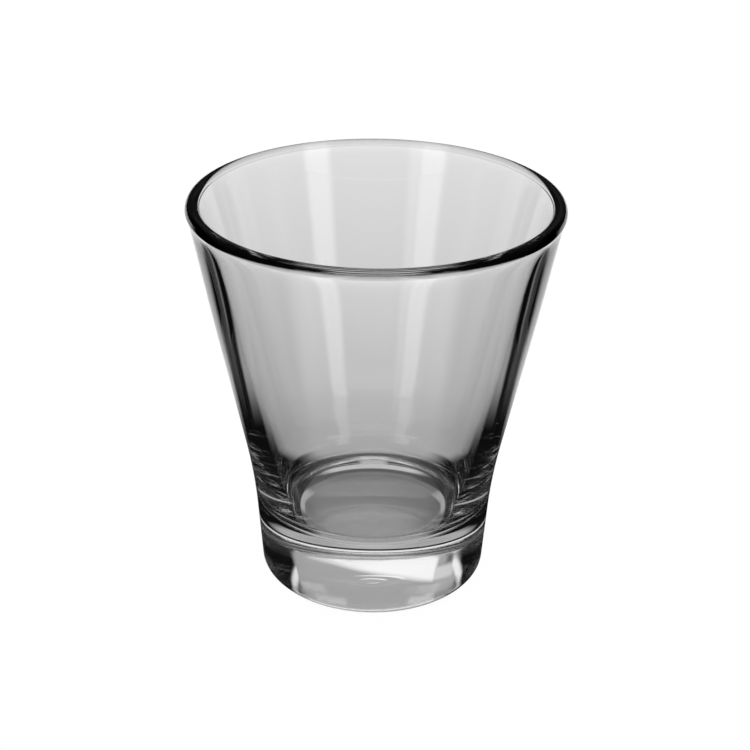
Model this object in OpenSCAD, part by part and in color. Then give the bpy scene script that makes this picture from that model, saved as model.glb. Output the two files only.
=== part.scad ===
// Cortado glass: a clear pressed-glass tumbler with a flared wall, a thick solid base
// and a rounded rim. It is pressed in one piece, so it is one solid.
// Lengths are in millimetres. The axis is Z, the glass stands on Z = 0 and opens upward.

/* [Glass] */
// Height from the table to the top of the rim
glass_h = 80; // [70:0.5:100]
// Outside diameter across the rim
rim_d = 72.3; // [64:0.1:84]
// Thickness of the wall at the rim, which is rounded over fully
rim_wall = 2.8; // [1.8:0.1:3.6]

/* [Foot] */
// Outside diameter where the line of the foot meets the table
foot_d = 45.6; // [38:0.2:54]
// Lean of the foot away from upright, in degrees
foot_lean = 4.2; // [2:0.1:7]
// Height at which the foot and the wall would meet without the bend
waist_h = 22; // [18:0.5:28]
// Radius of the bend between the foot and the wall
flare_r = 120; // [60:5:160]
// Radius of the rounded lower edge
heel_r = 2.5; // [1.2:0.1:4]

/* [Inside] */
// Thickness of the wall at the height of the waist
low_wall = 4.2; // [2.8:0.1:5.5]
// Height of the floor above the table, at its lowest place in the middle
floor_h = 14; // [8:0.5:20]
// Radius of the floor, which is dished a little
floor_r = 200; // [40:5:400]
// Radius of the corner between the floor and the inner wall
well_r = 5; // [3:0.5:14]

/* [Underside] */
// Width of the flat ring that the glass stands on
ring_w = 1.5; // [0.8:0.1:3]
// Height of the hollow in the middle of the underside
hollow_h = 0.4; // [0.2:0.1:3]

/* [Hidden] */
$fn = 160;
lip_r = rim_wall / 2;
lip_c = [rim_d / 2 - lip_r, glass_h - lip_r];
waist = [foot_d / 2 + waist_h * tan(foot_lean), waist_h];
wall_lean = bearing(waist, lip_c) + asin(lip_r / norm(lip_c - waist));
well_lean = bearing(waist, lip_c) + asin((low_wall - lip_r) / norm(lip_c - waist));
lip_out = lip_c + lip_r * facing(wall_lean);
lip_in = lip_c - lip_r * facing(well_lean);
flare_run = flare_r * tan((wall_lean - foot_lean) / 2);
flare_low = waist - flare_run * along(foot_lean);
flare_top = waist + flare_run * along(wall_lean);
flare_c = flare_low + flare_r * facing(foot_lean);
heel_run = heel_r * tan((90 - foot_lean) / 2);
heel_c = [foot_d / 2 - heel_run, heel_r];
heel_low = [heel_c.x, 0];
heel_top = heel_c + heel_r * facing(foot_lean);
floor_c = [0, floor_h + floor_r];
well_start = lip_in - well_r * facing(well_lean);
well_side = (well_start - floor_c) * facing(well_lean);
well_rise = (well_start - floor_c) * along(well_lean);
well_drop = well_rise + sqrt(pow(floor_r - well_r, 2) - well_side * well_side);
well_c = well_start - well_drop * along(well_lean);
well_low = well_c + well_r * (well_c - floor_c) / norm(well_c - floor_c);
well_top = well_c + well_r * facing(well_lean);
ring_in = heel_c.x - ring_w;
hollow_r = (ring_in * ring_in + hollow_h * hollow_h) / (2 * hollow_h);

// Lean of the line from one point to another, in degrees from upright
function bearing(from, to) = atan2(to.x - from.x, to.y - from.y);

// Unit step up a line that leans outward
function along(lean) = [sin(lean), cos(lean)];

// Unit step square to that line, away from the axis
function facing(lean) = [cos(lean), -sin(lean)];

// Slice of a disc between two points of its edge, less than half of it
module slice(centre, radius, first, last) {
    reach = 1.5 / cos(angle_between(first - centre, last - centre) / 2);
    intersection() {
        translate(centre) circle(r = radius);
        polygon([
            centre,
            centre + reach * (first - centre),
            centre + reach * (last - centre)
        ]);
    }
}

// Angle between two arms, in degrees
function angle_between(a, b) = acos((a * b) / (norm(a) * norm(b)));

// Half section of the glass before its rounded places: straight lines only
module straight_section() {
    polygon([
        [0, 0],
        heel_low,
        heel_c,
        heel_top,
        flare_low,
        flare_top,
        lip_out,
        lip_c,
        lip_in,
        well_top,
        well_low,
        [0, floor_h]
    ]);
}

// Half section of the glass, to be turned about the axis
module section() {
    difference() {
        union() {
            straight_section();
            slice(heel_c, heel_r, heel_low, heel_top);
            slice(lip_c, lip_r, lip_out, lip_c + [0, lip_r]);
            slice(lip_c, lip_r, lip_c + [0, lip_r], lip_in);
        }
        slice(flare_c, flare_r, flare_low, flare_top);
        slice(well_c, well_r, well_low, well_top);
        slice(floor_c, floor_r, [0, floor_h], well_low);
        translate([0, hollow_h - hollow_r]) circle(r = hollow_r);
    }
}

// The whole glass in one piece
module tumbler() {
    color([0.93, 0.95, 0.95, 0.35]) rotate_extrude(angle = 360) section();
}

tumbler();
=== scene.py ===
# Looks of a clear pressed-glass tumbler on a plain pale studio floor
# Lengths are in metres, the axis of the glass is Z, and it stands on Z = 0.
import math

import bpy
from mathutils import Matrix, Vector


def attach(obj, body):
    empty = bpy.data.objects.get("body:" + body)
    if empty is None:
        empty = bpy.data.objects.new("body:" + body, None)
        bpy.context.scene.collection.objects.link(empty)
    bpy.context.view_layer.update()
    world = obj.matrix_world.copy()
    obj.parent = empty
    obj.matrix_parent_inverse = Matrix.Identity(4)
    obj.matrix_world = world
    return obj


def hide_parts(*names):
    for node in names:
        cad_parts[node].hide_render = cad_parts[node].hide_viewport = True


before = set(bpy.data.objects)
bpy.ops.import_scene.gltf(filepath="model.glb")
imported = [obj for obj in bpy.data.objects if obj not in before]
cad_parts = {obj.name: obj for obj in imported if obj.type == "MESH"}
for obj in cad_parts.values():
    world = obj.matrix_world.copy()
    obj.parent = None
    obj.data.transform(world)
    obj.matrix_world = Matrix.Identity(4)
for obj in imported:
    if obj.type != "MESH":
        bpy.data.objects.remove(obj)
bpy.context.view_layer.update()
scene = bpy.context.scene
scene.view_settings.view_transform = "Standard"

# Light that runs round inside the glass turns many times before it leaves
light_turns = 20
scene.cycles.max_bounces = light_turns
scene.cycles.glossy_bounces = light_turns
scene.cycles.transmission_bounces = light_turns

# Sizes of the glass, the same as in the part's source
MM = 0.001
glass_h = 80 * MM
rim_d = 72.3 * MM
rim_wall = 2.8 * MM
foot_d = 45.6 * MM
foot_lean = math.radians(4.2)
waist_h = 22 * MM
flare_r = 120 * MM
heel_r = 2.5 * MM
low_wall = 4.2 * MM
floor_h = 14 * MM
floor_r = 200 * MM
well_r = 5 * MM
ring_w = 1.5 * MM
hollow_h = 0.4 * MM

# Fineness of the mesh: steps round the axis, and along each part of the section
steps_around = 256
hollow_steps = 64
ring_steps = 8
heel_steps = 24
foot_steps = 12
flare_steps = 24
wall_steps = 16
neck_steps = 32
lip_steps = 20
lip_inside_steps = 60
well_steps = 32
floor_steps = 24
weld = 0.001 * MM

# Room that is left inside the box of the solids
clearance = 0.015 * MM

# Small things that only the looks have: a wavy surface, mould rings under the foot, a line inside the lip
unevenness = 0.02 * MM
unevenness_size = 22 * MM
mark_inner_r = 1.5 * MM
mark_outer_r = 3.6 * MM
mark_outer_share = 0.6
mark_width = 0.4 * MM
mark_depth = 0.015 * MM
lip_line_up = math.radians(26)
lip_line_spread = math.radians(6)
lip_line_depth = 0.07 * MM

# Shallow neck under the rim, which swells a hair over the wall as a fire-polished rim does
neck_depth = 0.25 * MM
neck_start = 0.8 * MM
neck_h = 24 * MM

# Finish of the glass
glass_ior = 1.52
smear_scale = 30.0
smear_from = 0.45
smear_to = 0.75
smear_roughness = 0.012
ripple_scale = 60.0
ripple_strength = 0.05
ripple_height = 0.5 * MM
scuff_height = 0.4 * MM
scuff_scale = 900
scuff_roughness = 0.35

# Light of the studio, where 1 is white
pale_air = 0.85
# Painted dark: the shade painted on the floor, and the dark round the panels of the air, which only the
# glass shows
painted_dark = 0.004
floor_white = 1.02
floor_paper = 0.9
paper_share = 0.05
floor_half = 6.0

# Limits for what light has done on its way: turned in the glass, or crossed faces of it.
# They lie halfway between whole counts. Light with more than the most turns counts as lost.
none_yet = 0.5
one_turn = 1.5
two_turns = 2.5
most_turns = 10.5
faces_of_one_wall = 3.5

# Cards behind the glass: light, bearing, half width, low edge, high edge, slant and softness, in degrees
# Painted reflections: these panels light nothing and show only in light that bounces in the glass
cards_behind = {
    "grey backdrop": (0.39, 1.5, 34.5, 5, 66, 0, 2),
    "bright panel": (1.0, -0.5, 27.5, 20, 31.6, -0.17, 2),
    "upper left panel": (0.9, -25, 8, 42, 48, 0, 1.5),
    "upper right panel": (0.75, 20, 9, 42, 48, 0, 1.5),
    "bright card on the left": (0.68, -33.5, 7, 30.5, 36, 0, 1.5),
    "grey card on the left": (0.44, -36, 8.5, 31, 44, 0, 1.5),
    "slanted strip on the left": (1.0, -44.5, 7, 32, 37, -0.67, 1.5),
    "slanted strip on the right": (0.85, 39.5, 4.5, 35.5, 40.5, 0.86, 1.5),
}
# Painted reflection of a soft light above, shown the same way
top_light = (1.0, 0, 190, 62, 110, 0, 4)
card_share_outside = 0.07

# Windows in front of the glass: light, bearing and half width. The one on the left has a dim edge.
# Painted reflections: the windows light nothing and show only in the glass, and as painted shine on the
# floor
windows_of_the_room = ((1.8, 139.5, 8.5), (1.8, 218, 8.5), (0.8, 208, 6))
window_edge = 3
window_low = -10
window_high = 30
window_glow_height = 20

# Camera at the photograph's viewing angle
picture_px = 750
focal_px = 1602.97
sensor_mm = 36
camera_distance = 4.0 * glass_h
camera_down = 0.4663
camera_roll = math.radians(0.67)
camera_aim = Vector((0.0016 * glass_h, 0, 0.5298 * glass_h))
camera_near = 1 * MM


# Half section of the glass

def along(lean):
    """Unit step up a line that leans outward."""
    return Vector((math.sin(lean), math.cos(lean)))


def facing(lean):
    """Unit step square to that line, away from the axis."""
    return Vector((math.cos(lean), -math.sin(lean)))


def bearing(first, last):
    """Lean of the line from one point to another, from upright."""
    return math.atan2(last.x - first.x, last.y - first.y)


def bend(centre, radius, first, last, steps):
    """Points on the shorter arc from one point to another."""
    start = math.atan2(first.y - centre.y, first.x - centre.x)
    sweep = math.atan2(last.y - centre.y, last.x - centre.x) - start
    sweep = (sweep + math.pi) % (2 * math.pi) - math.pi
    points = []
    for step in range(steps + 1):
        angle = start + sweep * step / steps
        points.append(centre + radius * Vector((math.cos(angle), math.sin(angle))))
    return points


def run(first, last, steps):
    """Points on a straight line, closer together towards its ends."""
    points = []
    for step in range(steps + 1):
        share = 0.5 - 0.5 * math.cos(math.pi * step / steps)
        points.append(first.lerp(last, share))
    return points


def mould_mark(radius):
    """Height that the faint mould rings add in the middle of the underside."""
    inner = math.exp(-((radius - mark_inner_r) / mark_width) ** 2)
    outer = math.exp(-((radius - mark_outer_r) / mark_width) ** 2)
    return mark_depth * (inner + mark_outer_share * outer)


def neck(point, lip_out, wall_lean):
    """Point of the outer wall, set in a little under the rim, which swells a hair over the wall."""
    below = (lip_out - point).length
    fade = 0.5 + 0.5 * math.cos(math.pi * below / neck_h)
    depth = neck_depth * (1 - math.exp(-below / neck_start)) * fade
    return point - facing(wall_lean) * depth


def lip_line(point, centre):
    """Point of the lip, set in a little along the faint line that the mould leaves inside the lip."""
    arm = point - centre
    off = math.atan2(arm.y, -arm.x) - lip_line_up
    return point - arm.normalized() * lip_line_depth * math.exp(-(off / lip_line_spread) ** 2)


def half_section():
    """Outline of the cut glass, from the middle of the underside round to the middle of the floor."""
    lip_r = rim_wall / 2
    lip_c = Vector((rim_d / 2 - lip_r, glass_h - lip_r))
    waist = Vector((foot_d / 2 + waist_h * math.tan(foot_lean), waist_h))
    rise = (lip_c - waist).length
    wall_lean = bearing(waist, lip_c) + math.asin(lip_r / rise)
    well_lean = bearing(waist, lip_c) + math.asin((low_wall - lip_r) / rise)
    lip_out = lip_c + lip_r * facing(wall_lean)
    lip_top = lip_c + Vector((0, lip_r))
    lip_in = lip_c - lip_r * facing(well_lean)
    flare_run = flare_r * math.tan((wall_lean - foot_lean) / 2)
    flare_low = waist - flare_run * along(foot_lean)
    flare_top = waist + flare_run * along(wall_lean)
    neck_low = lip_out - neck_h * along(wall_lean)
    flare_c = flare_low + flare_r * facing(foot_lean)
    heel_run = heel_r * math.tan((math.pi / 2 - foot_lean) / 2)
    heel_c = Vector((foot_d / 2 - heel_run, heel_r))
    heel_low = Vector((heel_c.x, 0))
    heel_top = heel_c + heel_r * facing(foot_lean)
    floor_c = Vector((0, floor_h + floor_r))
    well_start = lip_in - well_r * facing(well_lean)
    well_side = (well_start - floor_c).dot(facing(well_lean))
    well_rise = (well_start - floor_c).dot(along(well_lean))
    well_drop = well_rise + math.sqrt((floor_r - well_r) ** 2 - well_side ** 2)
    well_c = well_start - well_drop * along(well_lean)
    well_low = well_c + well_r * (well_c - floor_c).normalized()
    well_top = well_c + well_r * facing(well_lean)
    ring_in = Vector((heel_c.x - ring_w, 0))
    hollow_r = (ring_in.x ** 2 + hollow_h ** 2) / (2 * hollow_h)
    hollow_c = Vector((0, hollow_h - hollow_r))
    hollow_top = Vector((0, hollow_h))

    hollow = bend(hollow_c, hollow_r, hollow_top, ring_in, hollow_steps)
    hollow = [Vector((point.x, point.y + mould_mark(point.x))) for point in hollow]
    under_rim = run(neck_low, lip_out, neck_steps)
    under_rim = [neck(point, lip_out, wall_lean) for point in under_rim]
    lip_inside = bend(lip_c, lip_r, lip_top, lip_in, lip_inside_steps)
    lip_inside = [lip_line(point, lip_c) for point in lip_inside]
    pieces = [
        hollow,
        run(ring_in, heel_low, ring_steps),
        bend(heel_c, heel_r, heel_low, heel_top, heel_steps),
        run(heel_top, flare_low, foot_steps),
        bend(flare_c, flare_r, flare_low, flare_top, flare_steps),
        run(flare_top, neck_low, wall_steps),
        under_rim,
        bend(lip_c, lip_r, lip_out, lip_top, lip_steps),
        lip_inside,
        run(lip_in, well_top, wall_steps),
        bend(well_c, well_r, well_top, well_low, well_steps),
        bend(floor_c, floor_r, well_low, Vector((0, floor_h)), floor_steps),
    ]
    outline = [pieces[0][0]]
    for piece in pieces:
        outline.extend(piece[1:])
    return outline


# Small helpers for node trees

def put(tree, kind, **settings):
    """Adds a node to a tree and sets its options."""
    node = tree.nodes.new(kind)
    for name, value in settings.items():
        setattr(node, name, value)
    return node


def feed(tree, socket, value):
    """Gives a socket a plain number, or links another socket to it."""
    if isinstance(value, (int, float)):
        socket.default_value = value
    else:
        tree.links.new(value, socket)


def sums(tree, operation, *values):
    """Adds a Math node whose inputs are sockets or plain numbers, and gives its output."""
    node = put(tree, "ShaderNodeMath", operation=operation)
    for place, value in enumerate(values):
        feed(tree, node.inputs[place], value)
    return node.outputs[0]


def product(tree, first, *others):
    """Several values multiplied together."""
    value = first
    for other in others:
        value = sums(tree, "MULTIPLY", value, other)
    return value


def brightest(tree, lights):
    """Largest of several lights at each place."""
    light = lights[0]
    for other in lights[1:]:
        light = sums(tree, "MAXIMUM", light, other)
    return light


def smoothed(tree, value, low, high, start=0, end=1):
    """Adds a smooth ramp from one value to another, and gives its output."""
    node = put(tree, "ShaderNodeMapRange", interpolation_type="SMOOTHSTEP")
    places = ("Value", "From Min", "From Max", "To Min", "To Max")
    for place, number in zip(places, (value, low, high, start, end)):
        feed(tree, node.inputs[place], number)
    return node.outputs["Result"]


def blend_of(tree, share, first, second):
    """First value where the share is 0, second where it is 1."""
    node = put(tree, "ShaderNodeMix", data_type="FLOAT")
    for place, value in zip((0, 2, 3), (share, first, second)):
        feed(tree, node.inputs[place], value)
    return node.outputs[0]


def is_over(tree, value, limit):
    """1 where a value is over a limit, otherwise 0."""
    return sums(tree, "GREATER_THAN", value, limit)


def is_under(tree, value, limit):
    """1 where a value is under a limit, otherwise 0."""
    return sums(tree, "LESS_THAN", value, limit)


# Geometry Nodes tree that turns a half section about the axis

def turning_tree():
    """Wraps a grid round the axis. Each row takes radius and height from a point of the section."""
    tree = bpy.data.node_groups.new("turned_glass", "GeometryNodeTree")
    face = tree.interface
    face.new_socket("Section", in_out="INPUT", socket_type="NodeSocketGeometry")
    face.new_socket("Steps around", in_out="INPUT", socket_type="NodeSocketInt")
    for name in ("Unevenness", "Unevenness size", "Clearance"):
        face.new_socket(name, in_out="INPUT", socket_type="NodeSocketFloat")
    face.new_socket("Material", in_out="INPUT", socket_type="NodeSocketMaterial")
    face.new_socket("Glass", in_out="OUTPUT", socket_type="NodeSocketGeometry")
    link = tree.links.new
    given = put(tree, "NodeGroupInput")

    count = put(tree, "GeometryNodeAttributeDomainSize", component="MESH")
    link(given.outputs["Section"], count.inputs["Geometry"])
    rows = count.outputs["Point Count"]
    grid = put(tree, "GeometryNodeMeshGrid")
    grid.inputs["Size X"].default_value = 1
    grid.inputs["Size Y"].default_value = 1
    link(sums(tree, "ADD", given.outputs["Steps around"], 1), grid.inputs["Vertices X"])
    link(rows, grid.inputs["Vertices Y"])

    place = put(tree, "ShaderNodeSeparateXYZ")
    link(put(tree, "GeometryNodeInputPosition").outputs[0], place.inputs[0])
    angle = sums(tree, "MULTIPLY", sums(tree, "ADD", place.outputs["X"], 0.5), 2 * math.pi)
    share = sums(tree, "ADD", place.outputs["Y"], 0.5)
    row = sums(tree, "ROUND", sums(tree, "MULTIPLY", share, sums(tree, "SUBTRACT", rows, 1)))
    point = put(tree, "GeometryNodeSampleIndex", data_type="FLOAT_VECTOR", domain="POINT")
    link(given.outputs["Section"], point.inputs["Geometry"])
    link(put(tree, "GeometryNodeInputPosition").outputs[0], point.inputs["Value"])
    link(row, point.inputs["Index"])
    section = put(tree, "ShaderNodeSeparateXYZ")
    link(point.outputs[0], section.inputs[0])
    height = sums(tree, "MULTIPLY", section.outputs["Z"], 1 - clearance / glass_h)

    def on_circle(radius):
        """Place at a distance from the axis, by the angle and height of each point."""
        spot = put(tree, "ShaderNodeCombineXYZ")
        link(sums(tree, "MULTIPLY", radius, sums(tree, "COSINE", angle)), spot.inputs["X"])
        link(sums(tree, "MULTIPLY", radius, sums(tree, "SINE", angle)), spot.inputs["Y"])
        link(height, spot.inputs["Z"])
        return spot.outputs[0]

    even = on_circle(section.outputs["X"])
    lumps = put(tree, "ShaderNodeTexNoise", noise_dimensions="3D", normalize=True)
    link(even, lumps.inputs["Vector"])
    link(sums(tree, "DIVIDE", 1, given.outputs["Unevenness size"]), lumps.inputs["Scale"])
    lumps.inputs["Detail"].default_value = 0
    inward = sums(
        tree, "MULTIPLY_ADD", lumps.outputs[0], given.outputs["Unevenness"], given.outputs["Clearance"]
    )
    width = sums(tree, "DIVIDE", section.outputs["X"], rim_d / 2)
    inward = sums(tree, "MULTIPLY", inward, sums(tree, "MINIMUM", width, 1))
    shaped = put(tree, "GeometryNodeSetPosition")
    link(grid.outputs["Mesh"], shaped.inputs["Geometry"])
    link(on_circle(sums(tree, "SUBTRACT", section.outputs["X"], inward)), shaped.inputs["Position"])

    closed = put(tree, "GeometryNodeMergeByDistance")
    closed.inputs["Distance"].default_value = weld
    link(shaped.outputs[0], closed.inputs["Geometry"])
    smooth = put(tree, "GeometryNodeSetShadeSmooth")
    link(closed.outputs[0], smooth.inputs["Geometry"])
    real = put(tree, "GeometryNodeRealizeInstances")
    link(smooth.outputs[0], real.inputs[0])
    dressed = put(tree, "GeometryNodeSetMaterial")
    link(real.outputs[0], dressed.inputs["Geometry"])
    link(given.outputs["Material"], dressed.inputs["Material"])
    link(dressed.outputs[0], put(tree, "NodeGroupOutput").inputs["Glass"])
    return tree


def turned_glass(name, outline, material):
    """The glass as one closed plain mesh, made by the turning tree from the half section."""
    section = bpy.data.meshes.new(name + "_section")
    corners = [(point.x, 0, point.y) for point in outline]
    section.from_pydata(corners, [(at, at + 1) for at in range(len(corners) - 1)], [])
    lathe = bpy.data.objects.new(name + "_lathe", section)
    scene.collection.objects.link(lathe)
    tree = turning_tree()
    values = {
        "Steps around": steps_around,
        "Unevenness": unevenness,
        "Unevenness size": unevenness_size,
        "Clearance": clearance,
        "Material": material,
    }
    modifier = lathe.modifiers.new("turning", "NODES")
    modifier.node_group = tree
    for socket in tree.interface.items_tree:
        if socket.in_out == "INPUT" and socket.name in values:
            modifier[socket.identifier] = values[socket.name]
    evaluated = lathe.evaluated_get(bpy.context.evaluated_depsgraph_get())
    mesh = bpy.data.meshes.new_from_object(evaluated)
    mesh.name = name
    piece = bpy.data.objects.new(name, mesh)
    scene.collection.objects.link(piece)
    bpy.data.objects.remove(lathe)
    bpy.data.meshes.remove(section)
    return piece


# Material of the glass

def surface_group():
    """How pressed glass differs by place: faint smears, slow ripples and a scuffed foot ring."""
    group = bpy.data.node_groups.new("pressed_surface", "ShaderNodeTree")
    face = group.interface
    sizes = (("Smear size", smear_scale), ("Ripple size", ripple_scale), ("Scuff height", scuff_height))
    for name, default in sizes:
        socket = face.new_socket(name, in_out="INPUT", socket_type="NodeSocketFloat")
        socket.default_value = default
    for name in ("Smears", "Ripples", "Scuffs"):
        face.new_socket(name, in_out="OUTPUT", socket_type="NodeSocketFloat")
    link = group.links.new
    given = put(group, "NodeGroupInput")
    given_back = put(group, "NodeGroupOutput")
    where = put(group, "ShaderNodeTexCoord").outputs["Object"]

    smears = put(group, "ShaderNodeTexNoise", noise_dimensions="3D")
    link(where, smears.inputs["Vector"])
    link(given.outputs["Smear size"], smears.inputs["Scale"])
    smears.inputs["Detail"].default_value = 3
    link(smoothed(group, smears.outputs[0], smear_from, smear_to), given_back.inputs["Smears"])

    ripples = put(group, "ShaderNodeTexNoise", noise_dimensions="3D")
    link(where, ripples.inputs["Vector"])
    link(given.outputs["Ripple size"], ripples.inputs["Scale"])
    ripples.inputs["Detail"].default_value = 1
    link(ripples.outputs[0], given_back.inputs["Ripples"])

    height = put(group, "ShaderNodeSeparateXYZ")
    link(where, height.inputs[0])
    near = smoothed(group, height.outputs["Z"], 0, given.outputs["Scuff height"], 1, 0)
    grit = put(group, "ShaderNodeTexNoise", noise_dimensions="3D")
    link(where, grit.inputs["Vector"])
    grit.inputs["Scale"].default_value = scuff_scale
    link(sums(group, "MULTIPLY", near, grit.outputs[0]), given_back.inputs["Scuffs"])
    return group


def clear_glass():
    """Clear fire-polished glass."""
    material = bpy.data.materials.new("clear_glass")
    material.use_nodes = True
    tree = material.node_tree
    link = tree.links.new
    shader = tree.nodes["Principled BSDF"]
    shader.inputs["Base Color"].default_value = (1, 1, 1, 1)
    shader.inputs["IOR"].default_value = glass_ior
    shader.inputs["Transmission Weight"].default_value = 1
    shader.inputs["Metallic"].default_value = 0
    surface = put(tree, "ShaderNodeGroup", node_tree=surface_group())
    worn = sums(tree, "MULTIPLY", surface.outputs["Scuffs"], scuff_roughness)
    rough = sums(tree, "MULTIPLY_ADD", surface.outputs["Smears"], smear_roughness, worn)
    link(rough, shader.inputs["Roughness"])
    relief = put(tree, "ShaderNodeBump")
    relief.inputs["Strength"].default_value = ripple_strength
    relief.inputs["Distance"].default_value = ripple_height
    link(surface.outputs["Ripples"], relief.inputs["Height"])
    link(relief.outputs[0], shader.inputs["Normal"])
    return material


# Studio: a pale floor and soft light, with painted dark, painted reflections and painted shadows that
# only draw lines in the glass

def panel_group():
    """Mask of one soft panel of the studio, by bearing and height. Zero degrees is behind the glass."""
    group = bpy.data.node_groups.new("soft_panel", "ShaderNodeTree")
    face = group.interface
    face.new_socket("Direction", in_out="INPUT", socket_type="NodeSocketVector")
    for name in ("Bearing", "Half width", "Low", "High", "Slant", "Softness"):
        face.new_socket(name, in_out="INPUT", socket_type="NodeSocketFloat")
    face.new_socket("Mask", in_out="OUTPUT", socket_type="NodeSocketFloat")
    link = group.links.new
    given = put(group, "NodeGroupInput")
    part = put(group, "ShaderNodeSeparateXYZ")
    link(given.outputs["Direction"], part.inputs[0])
    x, y, z = part.outputs
    soft = given.outputs["Softness"]
    turn = sums(group, "RADIANS", given.outputs["Bearing"])
    sine = sums(group, "SINE", turn)
    cosine = sums(group, "COSINE", turn)
    ahead = sums(group, "MULTIPLY_ADD", x, sine, sums(group, "MULTIPLY", y, cosine))
    beside = sums(group, "SUBTRACT", sums(group, "MULTIPLY", x, cosine), sums(group, "MULTIPLY", y, sine))
    level = sums(group, "SQRT", sums(group, "MULTIPLY_ADD", x, x, sums(group, "MULTIPLY", y, y)))
    aside = sums(group, "DEGREES", sums(group, "ARCTAN2", beside, ahead))
    height = sums(group, "DEGREES", sums(group, "ARCTAN2", z, level))
    height = sums(group, "SUBTRACT", height, sums(group, "MULTIPLY", aside, given.outputs["Slant"]))

    def edge(value, limit, start, end):
        """Soft edge of the panel."""
        before = sums(group, "SUBTRACT", limit, soft)
        after = sums(group, "ADD", limit, soft)
        return smoothed(group, value, before, after, start, end)

    across = edge(sums(group, "ABSOLUTE", aside), given.outputs["Half width"], 1, 0)
    above = edge(height, given.outputs["Low"], 0, 1)
    below = edge(height, given.outputs["High"], 1, 0)
    mask = sums(group, "MULTIPLY", across, sums(group, "MULTIPLY", above, below))
    link(mask, put(group, "NodeGroupOutput").inputs["Mask"])
    return group


def panel(tree, group, direction, strength, *settings):
    """Places one soft panel in a tree and gives its light."""
    node = put(tree, "ShaderNodeGroup", node_tree=group)
    tree.links.new(direction, node.inputs["Direction"])
    for name, value in zip(("Bearing", "Half width", "Low", "High", "Slant", "Softness"), settings):
        node.inputs[name].default_value = value
    return sums(tree, "MULTIPLY", node.outputs["Mask"], strength)


def room_windows(tree, group, direction, low, high):
    """Light of the windows in front of the glass."""
    return brightest(tree, [
        panel(tree, group, direction, strength, bearing_deg, half_width, low, high, 0, window_edge)
        for strength, bearing_deg, half_width in windows_of_the_room
    ])


def studio_air(group):
    """White for the camera, pale through the glass, and painted reflections of cards and windows on
    painted dark for what bounces in it.
    """
    world = bpy.data.worlds.new("studio_air")
    world.use_nodes = True
    scene.world = world
    tree = world.node_tree
    rays = put(tree, "ShaderNodeLightPath")
    toward = put(tree, "ShaderNodeTexCoord").outputs["Generated"]
    turns = rays.outputs["Glossy Depth"]

    cards = brightest(tree, [panel(tree, group, toward, *card) for card in cards_behind.values()])
    outside = is_under(tree, rays.outputs["Transmission Depth"], none_yet)
    cards = sums(tree, "MULTIPLY", cards, blend_of(tree, outside, 1, card_share_outside))
    above = panel(tree, group, toward, *top_light)
    windows = room_windows(tree, group, toward, window_low, window_high)
    light = product(tree, brightest(tree, [cards, above, windows]), is_under(tree, turns, most_turns))
    light = sums(tree, "MAXIMUM", light, painted_dark)

    not_diffuse = sums(tree, "SUBTRACT", 1, rays.outputs["Is Diffuse Ray"])
    bounced = product(tree, is_over(tree, turns, none_yet), not_diffuse)
    seen = blend_of(tree, bounced, pale_air, light)
    seen = blend_of(tree, rays.outputs["Is Camera Ray"], seen, 1.0)
    tree.links.new(seen, tree.nodes["Background"].inputs["Strength"])
    tree.nodes["Background"].inputs["Color"].default_value = (1, 1, 1, 1)


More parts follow.
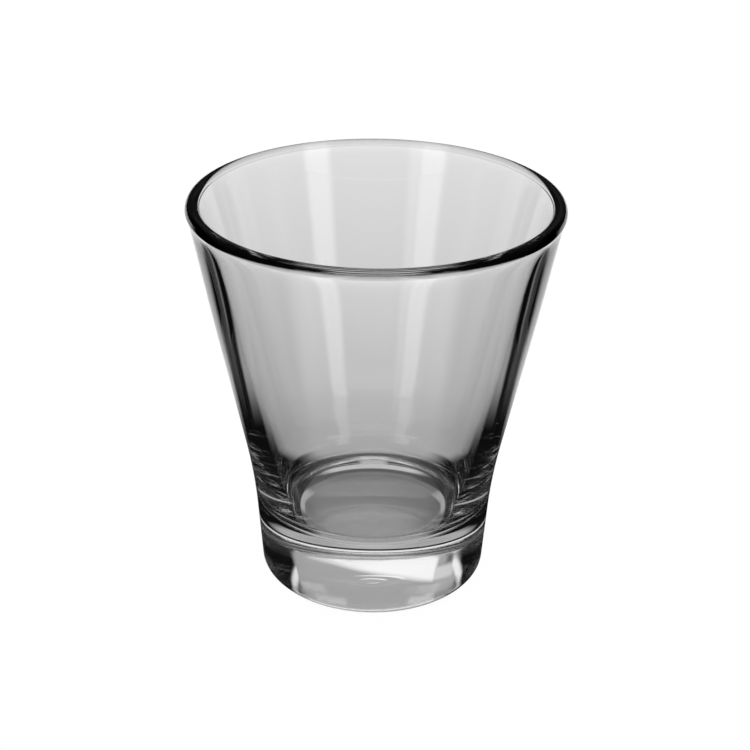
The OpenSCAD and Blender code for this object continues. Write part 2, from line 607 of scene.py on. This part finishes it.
class FloorLight:
    """Painted light and shade that the floor gives off only in what the glass shows, by distance from the
    axis of the glass and by bearing off straight behind it.

    A ramp is given by where it starts and ends, in millimetres of distance or in degrees of bearing.
    A pair of lights is given by light, bearing, half width and softness.
    """

    def __init__(self, tree, group):
        self.tree = tree
        self.group = group
        self.spot = put(tree, "ShaderNodeTexCoord").outputs["Object"]
        part = put(tree, "ShaderNodeSeparateXYZ")
        tree.links.new(self.spot, part.inputs[0])
        x, y = part.outputs[:2]
        self.reach = sums(tree, "SQRT", sums(tree, "MULTIPLY_ADD", x, x, sums(tree, "MULTIPLY", y, y)))
        self.aside = sums(tree, "DEGREES", sums(tree, "ARCTAN2", sums(tree, "ABSOLUTE", x), y))
        rays = put(tree, "ShaderNodeLightPath")
        self.to_camera = rays.outputs["Is Camera Ray"]
        self.not_diffuse = sums(tree, "SUBTRACT", 1, rays.outputs["Is Diffuse Ray"])
        self.crossed = rays.outputs["Transmission Depth"]
        self.turns = rays.outputs["Glossy Depth"]
        self.few_turns = is_under(tree, self.turns, most_turns)

    def by_reach(self, low, high, start=0, end=1):
        """Ramp with the distance from the axis, in millimetres."""
        return smoothed(self.tree, self.reach, low * MM, high * MM, start, end)

    def by_bearing(self, low, high, start=0, end=1):
        """Ramp with the bearing, in degrees, the same on both sides of the glass."""
        return smoothed(self.tree, self.aside, low, high, start, end)

    def pair(self, strength, bearing_deg, half_width, softness):
        """The same light on both sides of the glass."""
        first = bearing_deg - half_width
        last = bearing_deg + half_width
        low_edge = self.by_bearing(first - softness, first + softness)
        high_edge = self.by_bearing(last - softness, last + softness, 1, 0)
        return product(self.tree, low_edge, high_edge, strength)

    def ring(self, radius, half_width):
        """Soft ring on the floor round the axis, in millimetres."""
        softness = 0.3
        inner = radius - half_width
        outer = radius + half_width
        inner_edge = self.by_reach(inner - softness, inner + softness)
        outer_edge = self.by_reach(outer - softness, outer + softness, 1, 0)
        return product(self.tree, inner_edge, outer_edge)

    def shadow_and_glints_under_glass(self):
        """Painted shadow of the glass on the floor under the base, with a painted glint on each side."""
        middle_light = 0.22
        edge_light = 0.14
        shade_ramp = (4, 16)
        glints = (0.42, 72, 20, 10)
        glint_ramp = (16.8, 18.2)
        shade = self.by_reach(*shade_ramp, middle_light, edge_light)
        glint = product(self.tree, self.pair(*glints), self.by_reach(*glint_ramp))
        return sums(self.tree, "MAXIMUM", shade, glint)

    def painted_shadow_round_glass(self):
        """Painted shadow of the glass on the floor round the base, paler the farther away it is."""
        tree = self.tree
        least_r = 1 * MM
        start_r = 32 * MM
        start_light = 0.31
        light_per_fold = 0.235
        least_light = 0.42
        apart = sums(tree, "DIVIDE", sums(tree, "MAXIMUM", self.reach, least_r), start_r)
        fade = sums(tree, "LOGARITHM", apart, math.e)
        light = sums(tree, "MULTIPLY_ADD", fade, light_per_fold, start_light)
        return sums(tree, "MINIMUM", sums(tree, "MAXIMUM", light, least_light), pale_air)

    def through_walls(self, under):
        """What is seen straight through the glass: the floor under it, at its edge and around it, with
        painted shadow rings, a painted ring of light and painted shade beside the glass.
        """
        tree = self.tree
        ring_shade = 0.04
        ring_light = 0.55
        inner_shadow_ring = (21.7, 0.6)
        outer_shadow_ring = (25.1, 1.4)
        painted_light_ring = (23.0, 0.6)
        edge_ramp = (24, 31)
        turning_ramp = (34, 46)
        shade_bearings = (30, 47)
        shade_softness = 8
        shade_from = (19.8, 21)
        shade_to = (44, 66)
        light = blend_of(tree, self.by_reach(*edge_ramp), under, self.painted_shadow_round_glass())
        shadow_rings = sums(tree, "MAXIMUM", self.ring(*inner_shadow_ring), self.ring(*outer_shadow_ring))
        light = blend_of(tree, shadow_rings, light, ring_shade)
        light = sums(tree, "MAXIMUM", light, product(tree, self.ring(*painted_light_ring), ring_light))
        # Painted shade on the floor beside the glass, from a bearing that turns with the distance
        shade_starts = self.by_reach(*turning_ramp, *shade_bearings)
        past_start = sums(tree, "SUBTRACT", self.aside, shade_starts)
        beside = smoothed(tree, past_start, -shade_softness, shade_softness)
        beside = product(tree, beside, self.by_reach(*shade_from), self.by_reach(*shade_to, 1, 0))
        return blend_of(tree, beside, light, painted_dark)

    def through_foot(self, under):
        """What is seen straight through the solid foot alone, with painted shade beside and behind it,
        and where that is.
        """
        tree = self.tree
        middle_light = 0.45
        side_light = 0.18
        light_bearings = (0.5, 5)
        near_shade_to = (29, 35)
        near_shade_bearings = (4, 7)
        side_shades = (1, 65, 25, 4)
        shade_behind_ramp = (28.4, 29.2)
        edge_ramp = (22, 25)
        foot_to = (50, 70)
        # Painted shade on the floor beside the foot and farther behind it
        shade = product(tree, self.by_reach(*near_shade_to, 1, 0), self.by_bearing(*near_shade_bearings))
        shade = sums(tree, "MAXIMUM", shade, self.pair(*side_shades))
        light = self.by_bearing(*light_bearings, middle_light, side_light)
        light = blend_of(tree, shade, light, painted_dark)
        light = blend_of(tree, self.by_reach(*shade_behind_ramp), light, painted_dark)
        light = blend_of(tree, self.by_reach(*edge_ramp), under, light)
        foot_alone = is_under(tree, self.crossed, faces_of_one_wall)
        where = product(tree, foot_alone, self.by_reach(*foot_to, 1, 0), self.not_diffuse)
        return light, where

    def windows_on_floor(self):
        """Painted shine of the windows on the floor, from farther off, and nearer where the back wall
        mirrors it.
        """
        tree = self.tree
        far_ramp = (80, 160)
        near_ramp = (26, 40)
        both_walls = is_over(tree, self.crossed, faces_of_one_wall)
        off_back_wall = product(tree, both_walls, is_under(tree, self.turns, one_turn))
        nearer = product(tree, off_back_wall, self.by_reach(*near_ramp))
        far = sums(tree, "MAXIMUM", self.by_reach(*far_ramp), nearer)
        shine = room_windows(tree, self.group, self.spot, -window_glow_height, window_glow_height)
        return product(tree, shine, far)

    def front_of_glass(self):
        """Painted light on the floor in front of the glass, dimmer close to it."""
        near_share = 0.3
        front_panel = (1.0, 180, 50, -40, 40, 0, 8)
        near_ramp = (50, 85)
        far_ramp = (120, 250)
        light = panel(self.tree, self.group, self.spot, *front_panel)
        light = product(self.tree, light, self.by_reach(*near_ramp, near_share, 1))
        return product(self.tree, light, self.by_reach(*far_ramp, 1, 0))

    def behind_glass(self):
        """Painted light on the floor behind the glass, with painted shade close to it and a paler line
        straight behind.
        """
        tree = self.tree
        close_light = 0.03
        far_light = 0.4
        farther_gain = 0.35
        line_light = 0.42
        far_ramp = (35, 90)
        farther_ramp = (90, 300)
        line_bearings = (5, 10)
        side_bearings = (32, 40)
        light = self.by_reach(*far_ramp, close_light, far_light)
        light = sums(tree, "ADD", light, self.by_reach(*farther_ramp, 0, farther_gain))
        light = sums(tree, "MAXIMUM", light, self.by_bearing(*line_bearings, line_light, 0))
        return product(tree, light, self.by_bearing(*side_bearings, 1, 0))

    def beside_glass(self):
        """Painted stripes of light between painted dark ones on the floor beside the glass."""
        tree = self.tree
        stripes = ((0.1, 44, 8, 2), (0.26, 49.5, 2, 1.5), (0.38, 72, 10, 3), (0.12, 100, 20, 3))
        ramps = ((55, 80), (75, 100), (55, 77), (55, 77))
        return brightest(tree, [
            product(tree, self.pair(*stripe), self.by_reach(*ramp))
            for stripe, ramp in zip(stripes, ramps)
        ])

    def trapped_below(self):
        """Painted light from right under the glass, for what turns many times in the wall and the rim."""
        tree = self.tree
        middle_light = 0.42
        light_to = (17, 18.5)
        light_bearings = (62, 80)
        front_bearings = (100, 125)
        counted = sums(tree, "MAXIMUM", self.few_turns, self.by_bearing(*front_bearings))
        light = self.by_reach(*light_to, middle_light, 0)
        return product(tree, light, counted, self.by_bearing(*light_bearings))

    def bounced_inside(self, windows, front):
        """Painted light of what bounces inside the glass, with painted shade near the glass where light
        turns many times.
        """
        tree = self.tree
        trapped_to = (27, 33)
        trapped_bearings = (8, 14)
        light = brightest(tree, [windows, front, self.behind_glass(), self.beside_glass()])
        many_turns = is_over(tree, self.turns, two_turns)
        trapped = product(tree, many_turns, self.by_reach(*trapped_to, 1, 0))
        trapped = product(tree, trapped, self.by_bearing(*trapped_bearings))
        light = product(tree, blend_of(tree, trapped, light, painted_dark), self.few_turns)
        return sums(tree, "MAXIMUM", light, self.trapped_below())

    def mirrored_outside(self, windows, front):
        """Painted light that the outer face mirrors."""
        tree = self.tree
        side_light = 0.9
        side_bearings = (46, 56)
        side_ramp = (50, 90)
        front_ramp = (26, 36)
        sides = product(tree, self.by_bearing(*side_bearings, side_light, 0), self.by_reach(*side_ramp))
        return brightest(tree, [windows, product(tree, front, self.by_reach(*front_ramp)), sides])

    def shown_in_glass(self):
        """All the painted light and shade that the glass shows of the floor."""
        tree = self.tree
        under = self.shadow_and_glints_under_glass()
        foot, in_foot = self.through_foot(under)
        straight = blend_of(tree, in_foot, self.through_walls(under), foot)
        windows = self.windows_on_floor()
        front = self.front_of_glass()
        inside = self.bounced_inside(windows, front)
        outside = self.mirrored_outside(windows, front)
        bounced = blend_of(tree, is_under(tree, self.crossed, none_yet), inside, outside)
        bounced = sums(tree, "MAXIMUM", bounced, painted_dark)
        return blend_of(tree, is_over(tree, self.turns, none_yet), straight, bounced)


def studio_floor(group):
    """Pale floor: white for the camera with a faint shadow, and in what the glass shows it glows darker
    with painted light and shade.
    """
    material = bpy.data.materials.new("studio_floor")
    material.use_nodes = True
    tree = material.node_tree
    tree.nodes.remove(tree.nodes["Principled BSDF"])
    link = tree.links.new
    light = FloorLight(tree, group)
    glow = put(tree, "ShaderNodeEmission")
    link(light.shown_in_glass(), glow.inputs["Strength"])
    white = put(tree, "ShaderNodeEmission")
    white.inputs["Strength"].default_value = floor_white
    paper = put(tree, "ShaderNodeBsdfDiffuse")
    paper.inputs["Color"].default_value = (floor_paper, floor_paper, floor_paper, 1)
    shown = put(tree, "ShaderNodeMixShader")
    shown.inputs[0].default_value = paper_share
    link(white.outputs[0], shown.inputs[1])
    link(paper.outputs[0], shown.inputs[2])
    mixed = put(tree, "ShaderNodeMixShader")
    link(light.to_camera, mixed.inputs[0])
    link(glow.outputs[0], mixed.inputs[1])
    link(shown.outputs[0], mixed.inputs[2])
    link(mixed.outputs[0], tree.nodes["Material Output"].inputs["Surface"])

    mesh = bpy.data.meshes.new("studio_floor")
    corners = [(-1, -1), (1, -1), (1, 1), (-1, 1)]
    mesh.from_pydata([(floor_half * x, floor_half * y, 0) for x, y in corners], [], [(0, 1, 2, 3)])
    mesh.materials.append(material)
    floor = bpy.data.objects.new("studio_floor", mesh)
    scene.collection.objects.link(floor)


def photo_camera():
    """Camera at the photograph's viewing angle and distance."""
    forward = Vector((0, math.cos(camera_down), -math.sin(camera_down)))
    upward = Vector((0, math.sin(camera_down), math.cos(camera_down)))
    sideways = Vector((1, 0, 0))
    right = sideways * math.cos(camera_roll) + upward * math.sin(camera_roll)
    upright = upward * math.cos(camera_roll) - sideways * math.sin(camera_roll)
    lens = bpy.data.cameras.new("photo_camera")
    lens.sensor_width = sensor_mm
    lens.lens = sensor_mm * focal_px / picture_px
    lens.clip_start = camera_near
    eye = bpy.data.objects.new("photo_camera", lens)
    turn = Matrix((right, upright, -forward)).transposed().to_4x4()
    eye.matrix_world = Matrix.Translation(camera_aim - camera_distance * forward) @ turn
    scene.collection.objects.link(eye)
    scene.camera = eye


tumbler = turned_glass("tumbler_glass", half_section(), clear_glass())
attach(tumbler, "root")
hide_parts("tumbler")
soft_panel = panel_group()
studio_air(soft_panel)
studio_floor(soft_panel)
photo_camera()
